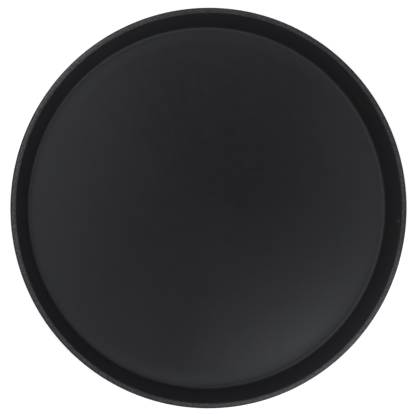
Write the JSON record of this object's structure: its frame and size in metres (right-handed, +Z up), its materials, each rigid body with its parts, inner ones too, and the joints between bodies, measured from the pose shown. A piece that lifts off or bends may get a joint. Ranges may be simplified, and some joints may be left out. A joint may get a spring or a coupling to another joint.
{
  "type": "serving tray",
  "caption": "Round non-slip serving tray: a moulded shell with a flared wall and beaded rim, a rubber liner bonded inside it, and a wire hoop in the rim.",
  "frame": {"origin": "centre of the foot ring, on the surface that the tray stands on", "axes": "+Z up along the tray's centre line; X and Y are alike, and a stacking lug lies on each"},
  "size_m": [0.3556, 0.3556, 0.0254],
  "materials": {
    "shell_plastic": "satin",
    "liner_rubber": "matte",
    "hoop_steel": "satin"
  },
  "bodies": {
    "root": {"tray_shell": "shell_plastic", "rubber_liner": "liner_rubber", "rim_hoop": "hoop_steel"}
  },
  "joints": []
}
